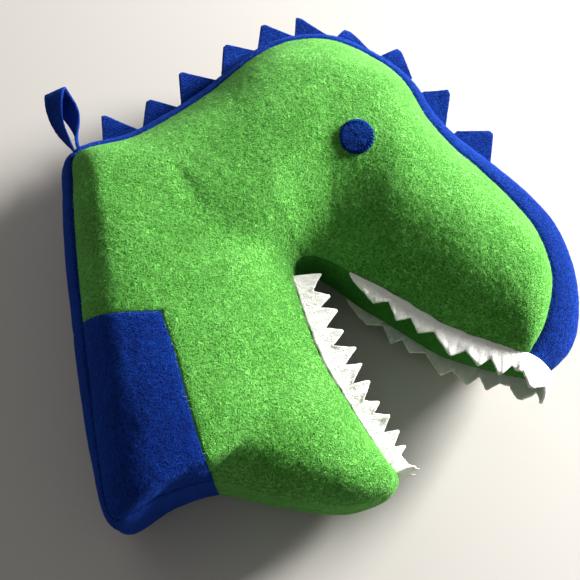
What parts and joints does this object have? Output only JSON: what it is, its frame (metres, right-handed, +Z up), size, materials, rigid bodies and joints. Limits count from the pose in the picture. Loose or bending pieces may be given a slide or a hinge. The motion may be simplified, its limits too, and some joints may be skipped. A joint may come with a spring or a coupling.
{
  "type": "stuffed dinosaur head",
  "caption": "Stuffed wool-felt dinosaur head with open jaws, felt teeth, crest spikes, round eyes and a hanging loop, lying on its side.",
  "frame": {"origin": "under the middle of the part's box, on the surface that it lies on", "axes": "+X towards the nose, +Y towards the crest, +Z up, away from the surface; the head lies on its left side"},
  "size_m": [0.2742, 0.2792, 0.075],
  "materials": {
    "green_felt": "matt fulled wool felt",
    "mouth_felt": "matt wool felt",
    "blue_felt": "matt wool felt",
    "eye_felt": "matt wool felt, whip-stitched",
    "white_felt": "matt wool felt",
    "strap": "matt felt strap",
    "stuffing": "loose fibre"
  },
  "bodies": {
    "head": {"right_side_panel": "green_felt", "left_side_panel": "green_felt", "right_crest_gusset": "blue_felt", "left_crest_gusset": "blue_felt", "back_panel": "blue_felt", "right_neck_patch": "blue_felt", "left_neck_patch": "blue_felt", "under_neck_panel": "blue_felt", "chin_gusset": "green_felt", "palate_lining": "mouth_felt", "lower_mouth_lining": "mouth_felt", "upper_teeth": "white_felt", "lower_teeth": "white_felt", "right_eye": "eye_felt", "left_eye": "eye_felt", "neck_stuffing": "stuffing", "head_stuffing": "stuffing", "jaw_stuffing": "stuffing"},
    "loop": {"hanging_loop": "strap"},
    "spike_01": {"spike_01": "blue_felt"},
    "spike_02": {"spike_02": "blue_felt"},
    "spike_03": {"spike_03": "blue_felt"},
    "spike_04": {"spike_04": "blue_felt"},
    "spike_05": {"spike_05": "blue_felt"},
    "spike_06": {"spike_06": "blue_felt"},
    "spike_07": {"spike_07": "blue_felt"},
    "spike_08": {"spike_08": "blue_felt"},
    "spike_09": {"spike_09": "blue_felt"},
    "spike_10": {"spike_10": "blue_felt"}
  },
  "joints": [
    {"name": "loop_swing", "type": "hinge", "parent": "head", "child": "loop", "pos_m": [-0.11942, 0.06125, 0.035], "axis": [0, 0, 1], "range_deg": [-25, 75]},
    {"name": "spike_01_bend", "type": "hinge", "parent": "head", "child": "spike_01", "pos_m": [-0.09482, 0.06621, 0.035], "axis": [0.9304, 0.3667, 0], "range_deg": [-35, 35], "stiffness_Nm_per_rad": 0.002},
    {"name": "spike_02_bend", "type": "hinge", "parent": "head", "child": "spike_02", "pos_m": [-0.07664, 0.0787, 0.035], "axis": [0.8175, 0.5759, 0], "range_deg": [-35, 35], "stiffness_Nm_per_rad": 0.002},
    {"name": "spike_03_bend", "type": "hinge", "parent": "head", "child": "spike_03", "pos_m": [-0.05705, 0.09367, 0.035], "axis": [0.7699, 0.6382, 0], "range_deg": [-35, 35], "stiffness_Nm_per_rad": 0.002},
    {"name": "spike_04_bend", "type": "hinge", "parent": "head", "child": "spike_04", "pos_m": [-0.03686, 0.11224, 0.035], "axis": [0.7747, 0.6324, 0], "range_deg": [-35, 35], "stiffness_Nm_per_rad": 0.002},
    {"name": "spike_05_bend", "type": "hinge", "parent": "head", "child": "spike_05", "pos_m": [-0.01529, 0.12475, 0.035], "axis": [0.9448, 0.3276, 0], "range_deg": [-35, 35], "stiffness_Nm_per_rad": 0.002},
    {"name": "spike_06_bend", "type": "hinge", "parent": "head", "child": "spike_06", "pos_m": [0.00497, 0.12828, 0.035], "axis": [0.9999, 0.0168, 0], "range_deg": [-35, 35], "stiffness_Nm_per_rad": 0.002},
    {"name": "spike_07_bend", "type": "hinge", "parent": "head", "child": "spike_07", "pos_m": [0.02841, 0.1233, 0.035], "axis": [0.9106, -0.4132, 0], "range_deg": [-35, 35], "stiffness_Nm_per_rad": 0.002},
    {"name": "spike_08_bend", "type": "hinge", "parent": "head", "child": "spike_08", "pos_m": [0.05159, 0.10916, 0.035], "axis": [0.7813, -0.6241, 0], "range_deg": [-35, 35], "stiffness_Nm_per_rad": 0.002},
    {"name": "spike_09_bend", "type": "hinge", "parent": "head", "child": "spike_09", "pos_m": [0.07176, 0.08236, 0.035], "axis": [0.4241, -0.9056, 0], "range_deg": [-35, 35], "stiffness_Nm_per_rad": 0.002},
    {"name": "spike_10_bend", "type": "hinge", "parent": "head", "child": "spike_10", "pos_m": [0.08935, 0.06076, 0.035], "axis": [0.6906, -0.7232, 0], "range_deg": [-35, 35], "stiffness_Nm_per_rad": 0.002}
  ]
}
